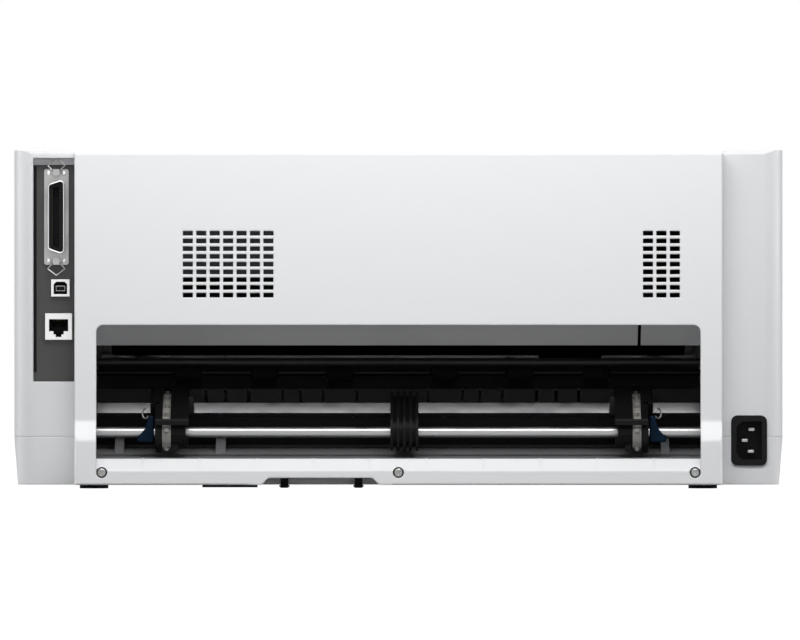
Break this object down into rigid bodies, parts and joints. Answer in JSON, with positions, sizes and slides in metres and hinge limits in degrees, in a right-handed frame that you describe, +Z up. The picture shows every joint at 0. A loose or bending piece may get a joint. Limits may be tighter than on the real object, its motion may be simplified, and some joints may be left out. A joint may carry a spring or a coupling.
{
  "type": "dot matrix printer",
  "caption": "Wide, low dot matrix printer with a rear paper window, sliding pin-feed tractors, hinged top, front and sheet covers, and recessed connectors.",
  "frame": {"origin": "centre of the footprint, on the floor", "axes": "+X to the user's right across the width, +Y from the front to the paper window at the rear, +Z up"},
  "size_m": [0.482, 0.37, 0.212],
  "materials": {
    "case_white": "fine-grained moulded plastic",
    "cover_smoke": "dark tinted plastic",
    "black_plastic": "satin",
    "grey_plastic": "satin",
    "dark_grey_plastic": "satin",
    "blue_plastic": "satin",
    "belt_beige": "matt",
    "gear_white": "satin",
    "steel": "bright",
    "zinc_sheet": "zinc-plated sheet",
    "connector_metal": "nickel-plated",
    "rubber": "matt",
    "board_green": "solder mask",
    "tinted_window": "smoked acrylic"
  },
  "bodies": {
    "root": {"lower_case": "case_white", "upper_case": "case_white", "rear_cover": "case_white", "rear_cover_screws": "steel", "feet": "rubber", "base_plate": "zinc_sheet", "side_frames": "zinc_sheet", "connector_plate": "dark_grey_plastic", "parallel_port": "connector_metal", "parallel_insert": "black_plastic", "usb_port": "connector_metal", "lan_port": "connector_metal", "power_inlet": "black_plastic", "inlet_pins": "steel", "main_board": "board_green", "power_supply": "zinc_sheet", "upper_guide": "grey_plastic", "lower_guide": "dark_grey_plastic", "slotted_guide": "dark_grey_plastic", "feed_motor": "black_plastic", "tractor_guide_shaft": "steel", "carriage_rod": "steel", "carriage_rail": "zinc_sheet", "carriage_motor": "black_plastic", "carriage_belt": "rubber", "ribbon_cartridge": "black_plastic"},
    "bail_upper": {"bail_upper": "steel"},
    "bail_lower": {"bail_lower": "steel"},
    "feed_rollers": {"feed_rollers": "rubber"},
    "platen": {"platen": "rubber", "platen_gear": "gear_white"},
    "motor_pinion": {"motor_pinion": "steel"},
    "idler_gear": {"idler_gear": "gear_white"},
    "tractor_drive": {"tractor_drive_shaft": "steel"},
    "tractor_left": {"tractor_left": "black_plastic", "tractor_belt_left": "belt_beige"},
    "tractor_sprocket_left": {"tractor_sprocket_left": "black_plastic"},
    "tractor_cover_left": {"tractor_cover_left": "black_plastic"},
    "tractor_lever_left": {"tractor_lever_left": "blue_plastic"},
    "tractor_right": {"tractor_right": "black_plastic", "tractor_belt_right": "belt_beige"},
    "tractor_sprocket_right": {"tractor_sprocket_right": "black_plastic"},
    "tractor_cover_right": {"tractor_cover_right": "black_plastic"},
    "tractor_lever_right": {"tractor_lever_right": "blue_plastic"},
    "paper_support": {"paper_support": "black_plastic"},
    "drive_pulley": {"drive_pulley": "gear_white"},
    "idler_pulley": {"idler_pulley": "gear_white"},
    "carriage": {"carriage": "black_plastic", "print_head": "black_plastic"},
    "ribbon_knob": {"ribbon_knob": "blue_plastic"},
    "top_cover": {"top_cover": "cover_smoke", "top_cover_window": "tinted_window"},
    "sheet_guide": {"sheet_guide": "case_white"},
    "edge_guide_left": {"edge_guide_left": "grey_plastic"},
    "edge_guide_right": {"edge_guide_right": "grey_plastic"},
    "front_cover": {"front_cover": "case_white"},
    "release_lever": {"release_lever": "blue_plastic"},
    "feed_button": {"feed_button": "grey_plastic"},
    "load_button": {"load_button": "grey_plastic"},
    "power_button": {"power_button": "grey_plastic"}
  },
  "joints": [
    {"name": "platen_turn", "type": "hinge", "parent": "root", "child": "platen", "pos_m": [0, 0.02, 0.1], "axis": [1, 0, 0], "continuous": true},
    {"name": "pinion_turn", "type": "hinge", "parent": "root", "child": "motor_pinion", "pos_m": [-0.196, 0.06057, 0.08913], "axis": [1, 0, 0], "continuous": true},
    {"name": "idler_turn", "type": "hinge", "parent": "root", "child": "idler_gear", "pos_m": [-0.197, 0.09736, 0.08185], "axis": [1, 0, 0], "continuous": true},
    {"name": "tractor_drive_turn", "type": "hinge", "parent": "root", "child": "tractor_drive", "pos_m": [0, 0.128, 0.0489], "axis": [1, 0, 0], "continuous": true},
    {"name": "feed_roller_turn", "type": "hinge", "parent": "root", "child": "feed_rollers", "pos_m": [0, 0.092, 0.0724], "axis": [1, 0, 0], "continuous": true},
    {"name": "tractor_left_slide", "type": "slide", "parent": "root", "child": "tractor_left", "axis": [1, 0, 0], "range_m": [-0.02, 0.085]},
    {"name": "tractor_right_slide", "type": "slide", "parent": "root", "child": "tractor_right", "axis": [1, 0, 0], "range_m": [-0.085, 0.02]},
    {"name": "sprocket_left_turn", "type": "hinge", "parent": "tractor_left", "child": "tractor_sprocket_left", "pos_m": [-0.1495, 0.128, 0.0489], "axis": [1, 0, 0], "continuous": true},
    {"name": "sprocket_right_turn", "type": "hinge", "parent": "tractor_right", "child": "tractor_sprocket_right", "pos_m": [0.1453, 0.128, 0.0489], "axis": [1, 0, 0], "continuous": true},
    {"name": "tractor_cover_left_hinge", "type": "hinge", "parent": "tractor_left", "child": "tractor_cover_left", "pos_m": [-0.1583, 0.13275, 0.05937], "axis": [0, -0.9108, 0.4129], "range_deg": [0, 110]},
    {"name": "tractor_cover_right_hinge", "type": "hinge", "parent": "tractor_right", "child": "tractor_cover_right", "pos_m": [0.1541, 0.13275, 0.05937], "axis": [0, 0.9108, -0.4129], "range_deg": [0, 110]},
    {"name": "tractor_lock_left", "type": "hinge", "parent": "tractor_left", "child": "tractor_lever_left", "pos_m": [-0.16, 0.158, 0.0353], "axis": [-1, 0, 0], "range_deg": [0, 45]},
    {"name": "tractor_lock_right", "type": "hinge", "parent": "tractor_right", "child": "tractor_lever_right", "pos_m": [0.156, 0.158, 0.0353], "axis": [-1, 0, 0], "range_deg": [0, 45]},
    {"name": "paper_support_slide", "type": "slide", "parent": "root", "child": "paper_support", "axis": [1, 0, 0], "range_m": [-0.02, 0.02]},
    {"name": "carriage_slide", "type": "slide", "parent": "root", "child": "carriage", "axis": [1, 0, 0], "range_m": [-0.025, 0.245]},
    {"name": "drive_pulley_turn", "type": "hinge", "parent": "root", "child": "drive_pulley", "pos_m": [0.168, -0.07, 0.069], "axis": [0, 0, 1], "range_deg": [-1800, 200]},
    {"name": "idler_pulley_turn", "type": "hinge", "parent": "root", "child": "idler_pulley", "pos_m": [-0.168, -0.07, 0.069], "axis": [0, 0, 1], "range_deg": [-1800, 200]},
    {"name": "ribbon_knob_turn", "type": "hinge", "parent": "root", "child": "ribbon_knob", "pos_m": [-0.15675, -0.098, 0.116], "axis": [0, 0, 1], "continuous": true},
    {"name": "top_cover_hinge", "type": "hinge", "parent": "root", "child": "top_cover", "pos_m": [0, 0, 0.208], "axis": [-1, 0, 0], "range_deg": [0, 75]},
    {"name": "sheet_guide_hinge", "type": "hinge", "parent": "root", "child": "sheet_guide", "pos_m": [0, 0.016, 0.208], "axis": [1, 0, 0], "range_deg": [0, 65]},
    {"name": "edge_guide_left_slide", "type": "slide", "parent": "sheet_guide", "child": "edge_guide_left", "axis": [1, 0, 0], "range_m": [-0.06, 0.07]},
    {"name": "edge_guide_right_slide", "type": "slide", "parent": "sheet_guide", "child": "edge_guide_right", "axis": [1, 0, 0], "range_m": [-0.07, 0.06]},
    {"name": "front_cover_hinge", "type": "hinge", "parent": "root", "child": "front_cover", "pos_m": [0, -0.182, 0.047], "axis": [1, 0, 0], "range_deg": [0, 90]},
    {"name": "release_lever_hinge", "type": "hinge", "parent": "root", "child": "release_lever", "pos_m": [-0.221, 0.06, 0.186], "axis": [1, 0, 0], "range_deg": [-20, 20]},
    {"name": "feed_button_press", "type": "slide", "parent": "root", "child": "feed_button", "axis": [0, 0.7966, -0.6045], "range_m": [0, 0.0015], "stiffness_N_per_m": 300},
    {"name": "load_button_press", "type": "slide", "parent": "root", "child": "load_button", "axis": [0, 0.7966, -0.6045], "range_m": [0, 0.0015], "stiffness_N_per_m": 300},
    {"name": "power_button_press", "type": "slide", "parent": "root", "child": "power_button", "axis": [0, 1, 0], "range_m": [0, 0.0015], "stiffness_N_per_m": 300},
    {"name": "bail_upper_hinge", "type": "hinge", "parent": "root", "child": "bail_upper", "pos_m": [0.21445, 0.1615, 0.1981], "axis": [-1, 0, 0], "range_deg": [0, 95]},
    {"name": "bail_lower_hinge", "type": "hinge", "parent": "root", "child": "bail_lower", "pos_m": [0.21445, 0.1615, 0.1423], "axis": [1, 0, 0], "range_deg": [0, 95]}
  ],
  "couplings": [
    {"joint": "pinion_turn", "follows": "platen_turn", "ratio": -3},
    {"joint": "idler_turn", "follows": "platen_turn", "ratio": 1.1667},
    {"joint": "tractor_drive_turn", "follows": "platen_turn", "ratio": -1.75},
    {"joint": "sprocket_left_turn", "follows": "platen_turn", "ratio": -1.75},
    {"joint": "sprocket_right_turn", "follows": "platen_turn", "ratio": -1.75},
    {"joint": "feed_roller_turn", "follows": "platen_turn", "ratio": 2.6154},
    {"joint": "drive_pulley_turn", "follows": "carriage_slide", "rad_per_m": -125},
    {"joint": "idler_pulley_turn", "follows": "carriage_slide", "rad_per_m": -125}
  ]
}
